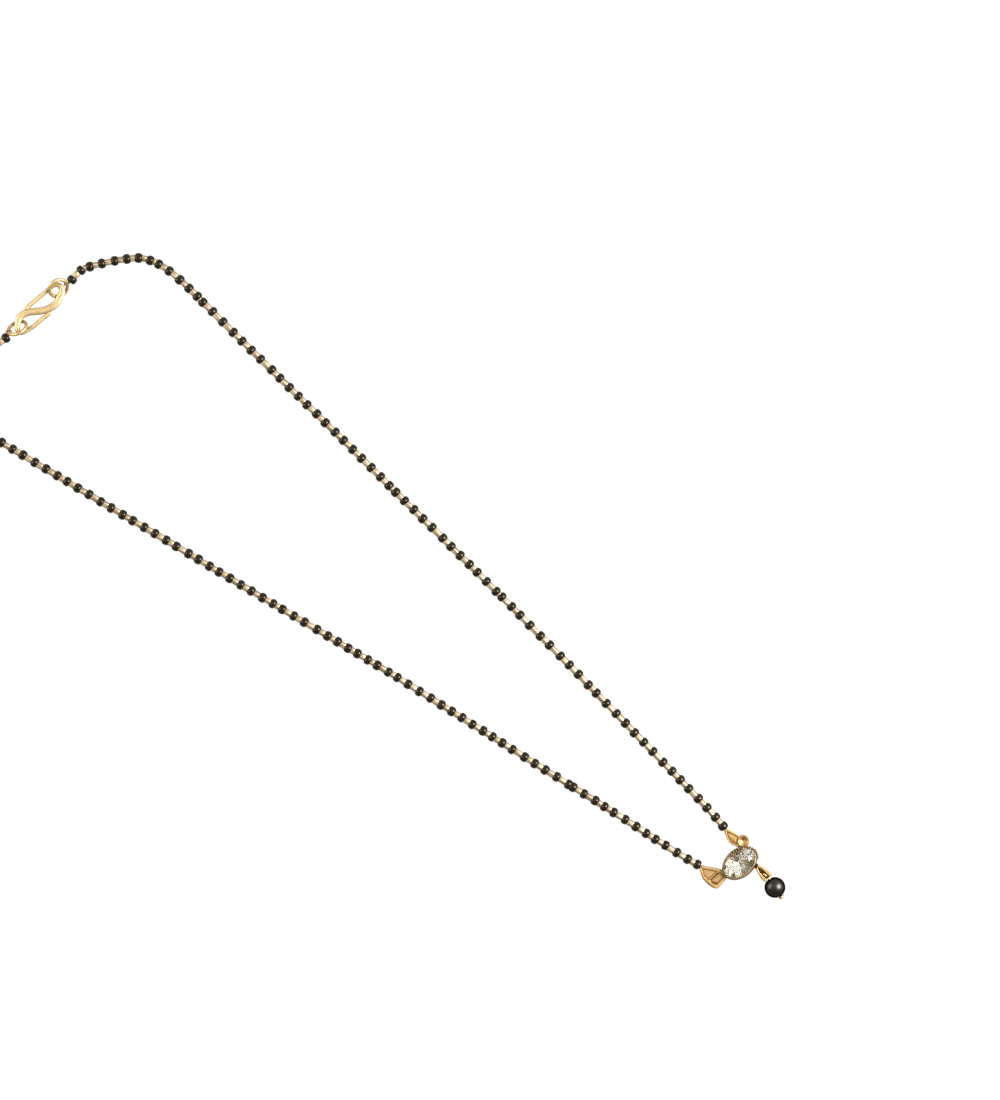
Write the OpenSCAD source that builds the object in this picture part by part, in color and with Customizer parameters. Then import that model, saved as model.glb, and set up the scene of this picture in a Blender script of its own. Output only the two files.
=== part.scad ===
// A short black bead necklace with a small oval stone pendant, laid out flat on a surface.
// Two bead strings run from the leaves of the pendant to the two rings of an S hook.
// Sizes are in millimetres, +Z is up, and everything rests on z = 0.

/* [Bead strings] */
// Diameter of the round black beads, the thickest thing on a string
bead_d = 2.4; // [2:0.1:2.8]
// Distance from the middle of the stone to the middle of the clasp, as the necklace lies
run_l = 205.1; // [195:0.1:225]

/* [Stone] */
// Length of the oval stone, across the pendant
stone_l = 7.6; // [6.6:0.1:8.4]
// Width of the oval stone
stone_w = 5; // [4.4:0.1:5.8]
// Height of the stone above its girdle
crown_h = 0.9; // [0.6:0.1:1.2]
// Thickness of the stone's girdle
girdle_t = 0.15; // [0.1:0.05:0.3]
// Depth of the stone below its girdle
pavilion_h = 1.9; // [1.5:0.1:2.3]

/* [Setting] */
// Thickness of the oval wall round the stone
wall_t = 0.65; // [0.5:0.05:0.9]
// Thickness of the flat plate that closes the back
base_t = 0.6; // [0.4:0.1:0.9]
// How far the foot of the wall stands out
foot_w = 0.15; // [0.1:0.05:0.3]
// Height of the foot of the wall
foot_h = 0.9; // [0.6:0.1:1.3]
// Width of the ledge that the stone sits on
ledge_w = 0.3; // [0.2:0.05:0.4]
// How far the beaded edge leans over the stone
lip_w = 0.1; // [0.05:0.05:0.15]
// Height of the beaded edge over the girdle
edge_h = 0.35; // [0.25:0.05:0.5]
// Number of small beads round the edge
edge_beads = 30; // [20:2:40]
// How far each of them stands out
edge_relief = 0.12; // [0.05:0.01:0.2]

/* [Leaves] */
// Thickness of both leaves
leaf_t = 1.3; // [1:0.1:1.6]
// Depth of the sunk cells between their raised rims
cell_depth = 0.5; // [0.2:0.1:0.7]
// Length of the left leaf, from the setting to its tip
left_leaf_l = 6.4; // [5.6:0.1:7.2]
// Width of the left leaf
left_leaf_w = 4.25; // [3.6:0.05:4.8]
// Length of the right leaf
right_leaf_l = 5.3; // [4.6:0.1:6]
// Width of the right leaf
right_leaf_w = 2.65; // [2.3:0.05:3]
// Diameter of the round cup at the foot of the right leaf
cup_d = 2.8; // [2.4:0.1:3.2]
// How far the cup's rim stands above the leaf
cup_rise = 0.3; // [0.1:0.1:0.6]
// Diameter of the hole for the thread in each leaf's tip
thread_hole_d = 0.5; // [0.4:0.05:0.6]
// Depth of that hole
thread_hole_depth = 1; // [0.6:0.1:1.2]

/* [Drop] */
// Diameter of the black drop bead
drop_d = 4.8; // [4.2:0.1:5.4]
// Its length between the flats round its hole
drop_l = 4.5; // [4:0.1:4.7]
// Diameter of its hole
drop_hole_d = 0.7; // [0.65:0.05:0.9]
// Thickness of the pin's wire
pin_d = 0.5; // [0.4:0.05:0.55]
// Mean radius of the eye at the top of the pin
eye_r = 0.6; // [0.56:0.01:0.64]
// Diameter of the pin's head
head_d = 1.5; // [1.2:0.1:1.8]
// Height of the pin's head
head_h = 0.7; // [0.5:0.1:1]
// Length of the bail, from the setting to its open end
bail_l = 4.15; // [4:0.05:4.3]
// Height of the bail's sides, from the middle of the bar to the top and as much again
bail_t = 1.5; // [1.2:0.1:1.7]
// Width of the bail where it is widest
bail_w = 2.6; // [2.3:0.1:3]
// Width of the slot that the pin's eye turns in
slot_w = 0.9; // [0.8:0.05:1]
// Diameter of the bar across the slot
bar_d = 0.45; // [0.35:0.05:0.5]

/* [Clasp] */
// Length of the S hook between the far sides of its loops, measured on the wire's centre line
hook_l = 14.2; // [13.8:0.1:14.6]
// Width of the S hook over both loops, on the centre line
hook_w = 4.5; // [4.3:0.1:4.8]
// Width of the flat middle of the hook
band_w = 1.7; // [1.5:0.05:1.75]
// Thickness of the hook
hook_t = 0.85; // [0.7:0.05:0.95]
// Width of the hook's thin ends
tip_w = 1; // [0.85:0.05:1.05]
// Mean radius of the ring in each loop
ring_r = 2.2; // [2.1:0.02:2.3]
// Thickness of the ring's wire
ring_wire = 0.8; // [0.65:0.05:0.85]
// Slope of the right ring, which lets it pass through its loop
right_ring_slope = 41; // [39:1:44]
// Slope of the left ring
left_ring_slope = 50; // [48:1:54]
// Thickness of the covered thread loop on each ring
loop_wire = 0.35; // [0.25:0.05:0.4]

/* [Hidden] */

// Clearance between pieces that are put together
gap = 0.05;
// Clearance between a string's end and what it runs up to
end_gap = 0.1;

// The middle of the setting is at [0, 0] here, with +Y towards the clasp
setting_turn = -9;
inner_half = [stone_l / 2 + gap, stone_w / 2 + gap];
outer_half = inner_half + [wall_t - gap, wall_t - gap];
girdle_z = base_t + 0.1 + pavilion_h;
ledge_z = girdle_z - ledge_w * pavilion_h / (stone_w / 2) - gap;
table_share = 0.58;
crown_share = (1 + table_share) / 2 + 0.02;
crown_step = 0.62;
girdle_sides = 16;
crown_slope = crown_h * crown_step / (stone_w / 2 * (1 - crown_share));
lip_z = girdle_z + girdle_t + (lip_w + edge_relief / 2) * crown_slope + gap;
edge_z = girdle_z + girdle_t + edge_h;

string_z = bead_d / 2;
leaf_z = string_z - leaf_t / 2;
drop_z = drop_d / 2;

// Outlines of the leaves and their cells. Each row is one corner: its place across the leaf as a
// share of the leaf's width, its place along it as a share of its length, and its rounding.
left_outline = [
  [0, 0, 0.2], [-0.1, 0.2, 0], [-0.07, 0.375, 0], [0.42, 0.985, 0.15], [0.62, 1, 0.15],
  [0.95, 0.67, 0.8], [1.01, 0.375, 0.8], [0.97, 0, 0.9]
];
left_cells = [
  [[0.54, 0.88, 0.1], [0.77, 0.73, 0.3], [0.78, 0.49, 0.1], [0.2, 0.46, 0.1]],
  [[0.19, 0.39, 0.1], [0.77, 0.42, 0.1], [0.82, 0.3, 0.3], [0.74, 0.13, 0.4], [0.15, 0.12, 0.2]]
];
right_outline = [
  [0.3, -0.1, 0], [0.68, 0.085, 0], [0.77, 0.37, 0.4], [0.57, 1, 0.12], [0.3, 1, 0.12],
  [0.13, 0.9, 0.5], [-0.18, 0.63, 1], [-0.26, 0.4, 1.2], [-0.13, 0.18, 0.8], [-0.08, -0.01, 0]
];
right_cells = [
  [[0.33, 0.86, 0.1], [0.47, 0.66, 0.8], [0.56, 0.37, 0.3], [0.3, 0.25, 0.4],
   [0.03, 0.24, 0.2], [-0.07, 0.43, 0.8], [0.02, 0.65, 0.8]]
];
left_base = [-outer_half[0] + 0.3, 0.2];
right_base = oval_edge(outer_half, 41) + [0.1, 0.05];
cup_middle = oval_edge(outer_half, 31) * (1 + (cup_d / 2 + 0.05) / norm(oval_edge(outer_half, 31)));
left_tip = left_base + [-0.52 * left_leaf_w, left_leaf_l];
right_tip = right_base + [0.435 * right_leaf_w, right_leaf_l];

// The bail leaves the setting here and points this way, and the drop bead's hole runs this way
bail_base = oval_edge(outer_half, -57);
bail_turn = -96;
drop_turn = -106;
eye_place = 3.1;
eye = bail_base + eye_place * [cos(bail_turn), sin(bail_turn)];
drop_middle = bail_base + (bail_l + 0.15 + drop_d / 2) * [cos(bail_turn), sin(bail_turn)]
  + 0.4 * [sin(bail_turn), -cos(bail_turn)];

// The clasp has its own frame, with the S hook's middle near [0, 0] and its length along X
clasp_place = [-4.35, run_l];
clasp_turn = -10.5;
hook_z = 1.6;
loop_r = (ring_wire + loop_wire) / 2 + gap;

// The S hook's centre line, from one thin end to the other. Each row is a share of the hook's
// length and a share of its width.
hook_line = [
  [-0.085, 0.535], [0, 0.54], [0.106, 0.54], [0.211, 0.535], [0.317, 0.54], [0.409, 0.545],
  [0.477, 0.47], [0.507, 0.3], [0.498, 0.11], [0.462, -0.03], [0.408, -0.11], [0.352, -0.195],
  [0.282, -0.26], [0.211, -0.265], [0.141, -0.23], [0.07, -0.15], [0.018, -0.06], [-0.035, 0.045],
  [-0.088, 0.16], [-0.144, 0.28], [-0.208, 0.37], [-0.28, 0.4], [-0.345, 0.355], [-0.4, 0.25],
  [-0.445, 0.11], [-0.478, -0.05], [-0.478, -0.2], [-0.44, -0.305], [-0.39, -0.345],
  [-0.33, -0.375], [-0.27, -0.41], [-0.211, -0.42], [-0.141, -0.415], [-0.07, -0.41],
  [0, -0.42], [0.03, -0.435]
];

// How far the middle of each ring lies in from the far side of its loop, along the hook
left_ring_in = 0.3;
right_ring_in = 0.55;
hook_low = hook_l * min([for (p = hook_line) p[0]]);
hook_high = hook_l * max([for (p = hook_line) p[0]]);

// Each ring of the clasp: its middle in the clasp's frame, its turn, its slope, the angle on it
// where its thread loop holds, and how far across the string runs up to that loop
left_ring = [hook_low + left_ring_in, 0.04 * hook_w, -16, -left_ring_slope, 180, 0.15];
right_ring = [hook_high - right_ring_in, 0.26 * hook_w, -2, right_ring_slope, -12, 0.55];
left_end = ring_string_end(left_ring);
right_end = ring_string_end(right_ring);

// Routes of the two strings between the leaves and the clasp, chosen by hand. Each row is X, and
// Y as a share of the distance between the stone and the clasp.
left_route = [
  [-7.4, 0.063], [-9.6, 0.151], [-12.3, 0.249], [-14.9, 0.346], [-17.6, 0.444], [-20.7, 0.541],
  [-23.7, 0.634], [-26.6, 0.726], [-29.6, 0.819], [-32.2, 0.902], [-33.6, 0.951], [-33.2, 0.98],
  [-31, 1.004], [-27, 1.018], [-22, 1.02], [-17.5, 1.014]
];
right_route = [
  [5, 0.068], [7.3, 0.166], [9.6, 0.263], [11.7, 0.361], [13.6, 0.458], [15.4, 0.556],
  [17.2, 0.653], [18.9, 0.751], [20.5, 0.839], [21.5, 0.892], [21.5, 0.924], [20, 0.948],
  [16.8, 0.965], [12.5, 0.982], [9, 0.993]
];
ring_step = 5.8;
string_sides = 8;

// Each string is two lengths that meet on this line, where its bend towards the clasp begins
bend_y = 0.87 * run_l;
left_path = smooth_route(
  concat([left_tip + [0, end_gap]], laid_out(left_route), [from_clasp(left_end)]), ring_step);
right_path = smooth_route(
  concat([right_tip + [0, end_gap]], laid_out(right_route), [from_clasp(right_end)]), ring_step);

// Middle of the whole necklace as it lies, which is moved to the origin
low_x = min([for (p = left_path) p[0]]) - string_z;
high_x = max([for (p = right_path) p[0]]) + string_z;
low_y = drop_middle[1] - drop_l / 2 - head_h;
high_y = max([for (p = left_path) p[1]]) + string_z;
middle = [(low_x + high_x) / 2, (low_y + high_y) / 2];

// The points of a route
function laid_out(route) = [for (p = route) [p[0], p[1] * run_l]];

// A vector of length 1
function unit(v) = v / norm(v);

// A flat point of the clasp's frame, in the necklace's frame
function from_clasp(p) = clasp_place + [
  p[0] * cos(clasp_turn) - p[1] * sin(clasp_turn),
  p[0] * sin(clasp_turn) + p[1] * cos(clasp_turn)
];

// A direction of the clasp's frame, given in a ring's own frame
function on_ring(ring, v) = let (
  t = ring[2], s = ring[3],
  y = v[1] * cos(s) - v[2] * sin(s), z = v[1] * sin(s) + v[2] * cos(s)
) [v[0] * cos(t) - y * sin(t), v[0] * sin(t) + y * cos(t), z];

// The middle of a ring, which rests on the surface with its lower edge
function ring_middle(ring) =
  [ring[0], ring[1], ring_r * sin(abs(ring[3])) + ring_wire / 2];

// The point of a ring's wire that the thread loop holds
function ring_hold(ring) =
  ring_middle(ring) + ring_r * on_ring(ring, [cos(ring[4]), sin(ring[4]), 0]);

// Where the string ends in front of a ring, in the clasp's frame
function ring_string_end(ring) =
  [ring_hold(ring)[0] + sign(ring[0]) * (loop_r + loop_wire / 2 + 3 * gap), ring[5]];

// The point of the turned oval that lies in a direction from its middle
function oval_edge(half, direction) = let (
  a = direction - setting_turn,
  r = half[0] * half[1] / norm([half[1] * cos(a), half[0] * sin(a)])
) r * [cos(direction), sin(direction)];

// Points of an oval with n low bumps round it
function oval_points(half, bumps = 0, relief = 0, steps = 96) = [
  for (i = [0 : steps - 1])
    let (a = i * 360 / steps, out = relief * abs(sin(a * bumps / 2)))
      [(half[0] + out) * cos(a), (half[1] + out) * sin(a)]
];

// The corners of an outline with their roundings, as plain points
function rounded(corners, origin, across, along) = let (
  n = len(corners),
  p = [for (c = corners) origin + [c[0] * across, c[1] * along]]
) [
  for (i = [0 : n - 1])
    let (
      here = p[i],
      to_last = unit(p[(i + n - 1) % n] - here),
      to_next = unit(p[(i + 1) % n] - here),
      half_angle = acos(to_last * to_next) / 2,
      r = corners[i][2],
      room = 0.45 * min(norm(p[(i + n - 1) % n] - here), norm(p[(i + 1) % n] - here)),
      back = min(r / tan(half_angle), room),
      start = here + back * to_last,
      stop = here + back * to_next
    )
      each (r == 0 ? [here] : [for (t = [0 : 0.25 : 1])
        (1 - t) * (1 - t) * start + 2 * t * (1 - t) * here + t * t * stop])
];

// A point of the smooth curve through p, at share t of the stretch that starts at point i
function curve_point(p, i, t) = let (
  a = p[max(i - 1, 0)], b = p[i], c = p[i + 1], d = p[min(i + 2, len(p) - 1)]
) 0.5 * (2 * b + t * (c - a) + t * t * (2 * a - 5 * b + 4 * c - d)
  + t * t * t * (3 * b - a - 3 * c + d));

// Points along the smooth curve through p, about one step apart
function smooth_route(p, step) = concat(
  [for (i = [0 : len(p) - 2])
    let (n = max(1, round(norm(p[i + 1] - p[i]) / step)))
      each [for (k = [0 : n - 1]) curve_point(p, i, k / n)]],
  [p[len(p) - 1]]
);

// The direction of a path at its point i
function heading(path, i) = unit(path[min(i + 1, len(path) - 1)] - path[max(i - 1, 0)]);

// A rod along a path of 3D points. halves holds its half width and half height at each point,
// and level is a direction that its width lies square to.
module rod(path, halves, level, sides) {
  n = len(path);
  points = [
    for (i = [0 : n - 1])
      let (
        ahead = heading(path, i),
        side = unit(cross(level, ahead)),
        up = cross(ahead, side)
      )
        for (k = [0 : sides - 1])
          let (a = (k + 0.5) * 360 / sides)
            path[i] + halves[i][0] * cos(a) * side + halves[i][1] * sin(a) * up
  ];
  walls = [
    for (i = [0 : n - 2], k = [0 : sides - 1])
      let (a = i * sides + k, b = i * sides + (k + 1) % sides)
        each [[a, b + sides, b], [a, a + sides, b + sides]]
  ];
  start = [for (k = [0 : sides - 1]) k];
  stop = [for (k = [sides - 1 : -1 : 0]) (n - 1) * sides + k];
  polyhedron(points = points, faces = concat([start], walls, [stop]));
}

// Puts a piece where it lies on the surface
module laid() {
  translate([-middle[0], -middle[1], 0]) children();
}

// Puts a piece of the clasp in its place
module on_clasp() {
  laid() translate([clasp_place[0], clasp_place[1], 0]) rotate([0, 0, clasp_turn]) children();
}

// The space that a string of beads takes up, between two lines across the necklace
module bead_string(path, low, high) {
  across = bead_d / 2 / cos(180 / string_sides);
  color("#26221f") laid() intersection() {
    rod([for (p = path) [p[0], p[1], string_z]], [for (p = path) [across, across]],
      [0, 0, 1], string_sides);
    translate([-run_l / 2, low, -1]) cube([run_l, high - low, 2 * bead_d + 1]);
  }
}

module bead_string_left() {
  bead_string(left_path, -run_l, bend_y);
}

module bead_string_right() {
  bead_string(right_path, -run_l, bend_y);
}

module bead_bend_left() {
  bead_string(left_path, bend_y + gap, 2 * run_l);
}

module bead_bend_right() {
  bead_string(right_path, bend_y + gap, 2 * run_l);
}

// The S hook: thin ends, and a wider flat band through its middle
module s_hook() {
  band_share = 0.32;
  taper_share = 0.2;
  path = smooth_route([for (p = hook_line) [p[0] * hook_l, p[1] * hook_w]], 0.5);
  n = len(path) - 1;
  widths = [
    for (i = [0 : n])
      let (
        from_middle = abs(2 * i / n - 1),
        thin = max(0, min(1, (from_middle - band_share) / taper_share))
      )
        (band_w * (1 - thin) + tip_w * thin) / 2 * (i == 0 || i == n ? 0.6 : 1)
  ];
  color("#e3c684") on_clasp()
    rod([for (p = path) [p[0], p[1], hook_z]], [for (w = widths) [w, min(w, hook_t / 2)]],
      [0, 0, 1], 10);
}

// A ring that passes through one loop of the hook
module clasp_ring(ring) {
  color("#dcbb74") on_clasp()
    translate(ring_middle(ring)) rotate([ring[3], 0, ring[2]])
      rotate_extrude($fn = 48) translate([ring_r, 0]) circle(d = ring_wire, $fn = 24);
}

module clasp_ring_left() {
  clasp_ring(left_ring);
}

module clasp_ring_right() {
  clasp_ring(right_ring);
}

// The covered thread loop that holds a string's end on its ring
module end_loop(ring, end) {
  a = ring[4];
  hold = ring_hold(ring);
  outward = on_ring(ring, [cos(a), sin(a), 0]);
  upward = on_ring(ring, [0, 0, 1]);
  face = [end[0] - sign(ring[0]) * (2 * gap + loop_wire / 2), end[1], string_z];
  turned = atan2((face - hold) * upward, (face - hold) * outward);
  leg = [0, 0, loop_wire / 2 + gap];
  path = concat(
    [face + leg],
    [for (b = [50 : 26 : 310])
      hold + loop_r * (cos(b + turned) * outward + sin(b + turned) * upward)],
    [face - leg]
  );
  color("#d3ab5c") on_clasp()
    rod(path, [for (p = path) [loop_wire, loop_wire] / 2], on_ring(ring, [-sin(a), cos(a), 0]), 8);
}

module end_loop_left() {
  end_loop(left_ring, left_end);
}

module end_loop_right() {
  end_loop(right_ring, right_end);
}

// An upright oval block, turned as the setting is
module oval_block(half, low, high, bumps = 0, relief = 0) {
  translate([0, 0, low]) rotate([0, 0, setting_turn])
    linear_extrude(high - low)
      polygon(oval_points(half, bumps, relief, bumps > 0 ? bumps * 6 : 96));
}

// A leaf with a raised rim round its sunk cells and a hole for the thread in its tip
module leaf(outline, cells, base, across, along, tip, away) {
  difference() {
    translate([0, 0, leaf_z]) linear_extrude(leaf_t)
      polygon(rounded(outline, base, across, along));
    for (cell = cells)
      translate([0, 0, leaf_z + leaf_t - cell_depth]) linear_extrude(cell_depth + 1)
        polygon(rounded(cell, base, across, along));
    translate([tip[0], tip[1], string_z]) rotate([0, 90, away])
      translate([0, 0, -thread_hole_depth]) cylinder(h = thread_hole_depth + 1,
        d = thread_hole_d, $fn = 24);
  }
}

// The round cup beside the right leaf: a shallow dish with a small bead in it
module cup() {
  r = cup_d / 2;
  dish_r = r - 0.25;
  dish_depth = 0.35;
  grain_d = 0.6;
  top = leaf_t + cup_rise;
  translate([cup_middle[0], cup_middle[1], leaf_z]) {
    rotate_extrude($fn = 48)
      polygon(concat(
        [[0, 0], [r, 0], [r, top - 0.15], [r - 0.1, top]],
        [for (k = [1 : -0.125 : 0]) [dish_r * k, top - dish_depth * (1 - k * k)]]
      ));
    translate([-0.1, 0.2, top - dish_depth]) sphere(d = grain_d, $fn = 20);
  }
}

// The bail that carries the drop: a channel with a closed back and a bar across it
module bail() {
  outline = [
    [-0.6, 0.22], [0.5, 0.22], [2, 0.38], [3.4, 0.5], [bail_l, 0.44],
    [bail_l, -0.44], [3.4, -0.5], [2, -0.38], [0.5, -0.22], [-0.6, -0.22]
  ];
  slot = [[0.7, -0.12], [1.7, -slot_w / 2], [bail_l + 1, -slot_w / 2],
    [bail_l + 1, slot_w / 2], [1.7, slot_w / 2], [0.7, 0.12]];
  back_t = 0.3;
  floor_z = -eye_r - pin_d / 2 - 0.1;
  translate([bail_base[0], bail_base[1], drop_z]) rotate([0, 0, bail_turn]) {
    difference() {
      translate([0, 0, floor_z - back_t]) linear_extrude(bail_t / 2 - floor_z + back_t)
        polygon([for (p = outline) [p[0], p[1] * bail_w]]);
      translate([0, 0, floor_z]) linear_extrude(2 * bail_t) polygon(slot);
    }
    translate([eye_place, 0, 0]) rotate([90, 0, 0])
      cylinder(h = bail_w - 0.6, d = bar_d, center = true, $fn = 24);
  }
}

// The setting: an oval wall on a closed back, with both leaves, the cup and the bail soldered on
module setting() {
  foot = outer_half + [foot_w, foot_w];
  lip = inner_half - [lip_w + gap, lip_w + gap];
  under = inner_half - [ledge_w + gap, ledge_w + gap];
  color("#d9ab62") laid() difference() {
    union() {
      oval_block(foot, 0, foot_h);
      oval_block(outer_half, 0, lip_z);
      oval_block(outer_half - [edge_relief, edge_relief], lip_z - 0.01, edge_z, edge_beads,
        edge_relief);
      leaf(left_outline, left_cells, left_base, -left_leaf_w, left_leaf_l, left_tip, 98);
      leaf(right_outline, right_cells, right_base, right_leaf_w, right_leaf_l, right_tip, 84);
      cup();
      bail();
    }
    oval_block(under, base_t, ledge_z + 0.01);
    oval_block(inner_half, ledge_z, lip_z);
    oval_block(lip, lip_z - 0.01, edge_z + 1, edge_beads, -edge_relief / 2);
  }
}

// One level of the stone: its corners at a share of the girdle's size
function stone_ring(share, z, shift = 0) = [
  for (i = [0 : girdle_sides - 1])
    let (a = (i + shift) * 360 / girdle_sides)
      [share * stone_l / 2 * cos(a), share * stone_w / 2 * sin(a), z]
];

// The oval stone: a flat table, two rows of crown facets, and a pavilion that ends in a point
module stone() {
  n = girdle_sides;
  points = concat(
    stone_ring(1, 0), stone_ring(1, girdle_t),
    stone_ring(crown_share, girdle_t + crown_h * crown_step, 0.5),
    stone_ring(table_share, girdle_t + crown_h),
    stone_ring(0.5, -pavilion_h * 0.56, 0.5), [[0, 0, -pavilion_h]]
  );
  faces = concat(
    [for (i = [0 : n - 1]) let (j = (i + 1) % n) [i, i + n, j + n, j]],
    [for (i = [0 : n - 1]) let (j = (i + 1) % n) each [
      [i + n, i + 2 * n, j + n], [j + n, i + 2 * n, j + 2 * n],
      [j + 2 * n, i + 2 * n, j + 3 * n], [i + 2 * n, i + 3 * n, j + 3 * n],
      [i, j, i + 4 * n], [j, j + 4 * n, i + 4 * n], [i + 4 * n, j + 4 * n, 5 * n]
    ]],
    [[for (i = [n - 1 : -1 : 0]) i + 3 * n]]
  );
  color("#dad6cc") laid() translate([0, 0, girdle_z]) rotate([0, 0, setting_turn])
    polyhedron(points = points, faces = faces);
}

// The pin: an eye round the bail's bar, a straight shank through the drop bead, and a flat head
module drop_pin() {
  down = [cos(drop_turn), sin(drop_turn), 0];
  centre = [drop_middle[0], drop_middle[1], drop_z];
  eye_centre = [eye[0], eye[1], drop_z];
  entry = centre - down * (drop_l / 2 + 0.05);
  toward = unit(entry - eye_centre);
  head = centre + down * (drop_l / 2 + 0.1);
  loop = [for (a = [50 : 17 : 322]) eye_centre + eye_r * (cos(a) * toward + sin(a) * [0, 0, 1])];
  shank = [eye_centre + toward * eye_r * 1.6, entry, centre, head];
  ends = [head + down * 0.01, head + down * head_h * 0.5, head + down * head_h];
  path = concat(loop, shank, ends);
  wire = [for (i = [1 : len(loop) + len(shank)]) [pin_d / 2, pin_d / 2]];
  knob = [[head_d / 2 - 0.1, head_d / 2 - 0.1], [head_d / 2, head_d / 2], [head_d / 3, head_d / 3]];
  color("#d3a04e") laid() rod(path, concat(wire, knob), cross([0, 0, 1], toward), 10);
}

// The black drop bead, round with a small flat at each end of its hole
module drop_bead() {
  color("#35322f") laid() translate([drop_middle[0], drop_middle[1], drop_z])
    rotate([0, 90, drop_turn])
      difference() {
        intersection() {
          sphere(d = drop_d, $fn = 64);
          cylinder(h = drop_l, d = drop_d + 1, center = true, $fn = 64);
        }
        cylinder(h = drop_l + 1, d = drop_hole_d, center = true, $fn = 32);
      }
}

bead_string_left();
bead_string_right();
bead_bend_left();
bead_bend_right();
s_hook();
clasp_ring_left();
clasp_ring_right();
end_loop_left();
end_loop_right();
setting();
stone();
drop_pin();
drop_bead();
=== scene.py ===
import math
import random

import bpy
import numpy as np
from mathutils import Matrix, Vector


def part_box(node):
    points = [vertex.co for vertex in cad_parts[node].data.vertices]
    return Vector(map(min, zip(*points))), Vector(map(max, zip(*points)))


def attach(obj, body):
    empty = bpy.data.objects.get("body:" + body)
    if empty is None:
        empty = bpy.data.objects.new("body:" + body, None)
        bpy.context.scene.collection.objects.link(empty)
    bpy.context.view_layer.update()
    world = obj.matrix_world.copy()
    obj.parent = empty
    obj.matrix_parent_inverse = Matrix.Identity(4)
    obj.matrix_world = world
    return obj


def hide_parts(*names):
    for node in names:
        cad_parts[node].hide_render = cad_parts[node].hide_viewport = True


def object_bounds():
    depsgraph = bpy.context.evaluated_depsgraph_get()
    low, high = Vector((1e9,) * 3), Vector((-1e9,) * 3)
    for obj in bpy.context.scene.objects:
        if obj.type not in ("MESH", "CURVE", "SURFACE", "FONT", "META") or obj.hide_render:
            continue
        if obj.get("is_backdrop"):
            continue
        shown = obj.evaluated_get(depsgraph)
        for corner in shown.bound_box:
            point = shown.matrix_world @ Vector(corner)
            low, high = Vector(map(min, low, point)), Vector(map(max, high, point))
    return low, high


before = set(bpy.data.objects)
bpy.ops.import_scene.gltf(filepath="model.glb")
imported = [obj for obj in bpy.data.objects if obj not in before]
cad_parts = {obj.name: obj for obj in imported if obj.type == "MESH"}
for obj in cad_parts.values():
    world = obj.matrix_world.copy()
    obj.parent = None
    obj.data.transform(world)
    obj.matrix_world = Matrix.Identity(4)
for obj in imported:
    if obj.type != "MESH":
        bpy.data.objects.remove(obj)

cad_low, cad_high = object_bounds()

# View. The necklace lies on a white table and is photographed from straight above with a long
# lens, turned so that the pendant comes out at the lower right.
VIEW_MIDDLE = (0.02654, -0.01049)
VIEW_HEIGHT = 0.253
VIEW_TURN = math.radians(-50.5)
BEAD_TOP = 0.0024

camera_data = bpy.data.cameras.new("photo_camera")
camera_data.lens = 150
camera_data.sensor_width = 36
camera_data.clip_start = 0.01
camera = bpy.data.objects.new("photo_camera", camera_data)
camera_z = BEAD_TOP / 2 + VIEW_HEIGHT * camera_data.lens / camera_data.sensor_width
camera.location = (*VIEW_MIDDLE, camera_z)
camera.rotation_euler = (0, 0, VIEW_TURN)
bpy.context.scene.collection.objects.link(camera)
bpy.context.scene.camera = camera
bpy.context.scene.view_settings.view_transform = "Standard"

# Light. A soft lamp stands on one side, a weaker one across from it and a broad one overhead, in
# a pale room that is lighter towards the clasp, over a table of lit white glass that shows hardly
# any shadow.
VIEW_RIGHT = np.array([math.cos(VIEW_TURN), math.sin(VIEW_TURN), 0])
VIEW_UP = np.array([-math.sin(VIEW_TURN), math.cos(VIEW_TURN), 0])
ROOM_DARKEST = 0.2
ROOM_LIGHTEST = 0.9
TABLE_HALF = 3

# A row for each lamp: the way it stands from the middle of the view, how many degrees off the
# zenith, how far off and how wide in metres, and its watts.
LAMPS = {
    "main_softbox": (VIEW_RIGHT + 0.16 * VIEW_UP, 46, 0.8, 0.42, 15.5),
    "side_softbox": (0.15 * VIEW_UP - VIEW_RIGHT, 62, 0.8, 0.5, 4.5),
    "overhead_softbox": (VIEW_UP, 4, 1.4, 0.8, 0.9),
}

for lamp_name, (toward, off_zenith, distance, width, watts) in LAMPS.items():
    lamp = bpy.data.lights.new(lamp_name, "AREA")
    lamp.shape = "SQUARE"
    lamp.size = width
    lamp.energy = watts
    holder = bpy.data.objects.new(lamp_name, lamp)
    tilt = math.radians(off_zenith)
    away = toward / np.linalg.norm(toward) * math.sin(tilt) + np.array([0, 0, math.cos(tilt)])
    holder.location = np.array([*VIEW_MIDDLE, 0]) + away * distance
    look = holder.location.copy()
    look.x -= VIEW_MIDDLE[0]
    look.y -= VIEW_MIDDLE[1]
    holder.rotation_euler = look.to_track_quat("Z", "Y").to_euler()
    bpy.context.scene.collection.objects.link(holder)

world = bpy.data.worlds.new("pale_room")
bpy.context.scene.world = world
world.use_nodes = True
world_tree = world.node_tree
facing = world_tree.nodes.new("ShaderNodeTexCoord")
towards_clasp = world_tree.nodes.new("ShaderNodeVectorMath")
towards_clasp.operation = "DOT_PRODUCT"
towards_clasp.inputs[1].default_value = VIEW_UP
wall = world_tree.nodes.new("ShaderNodeMapRange")
wall.inputs["From Min"].default_value = -1
wall.inputs["To Min"].default_value = ROOM_DARKEST
wall.inputs["To Max"].default_value = ROOM_LIGHTEST
background = world_tree.nodes["Background"]
background.inputs["Color"].default_value = (1, 0.99, 0.97, 1)
world_tree.links.new(facing.outputs["Generated"], towards_clasp.inputs[0])
world_tree.links.new(towards_clasp.outputs["Value"], wall.inputs["Value"])
world_tree.links.new(wall.outputs["Result"], background.inputs["Strength"])

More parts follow.
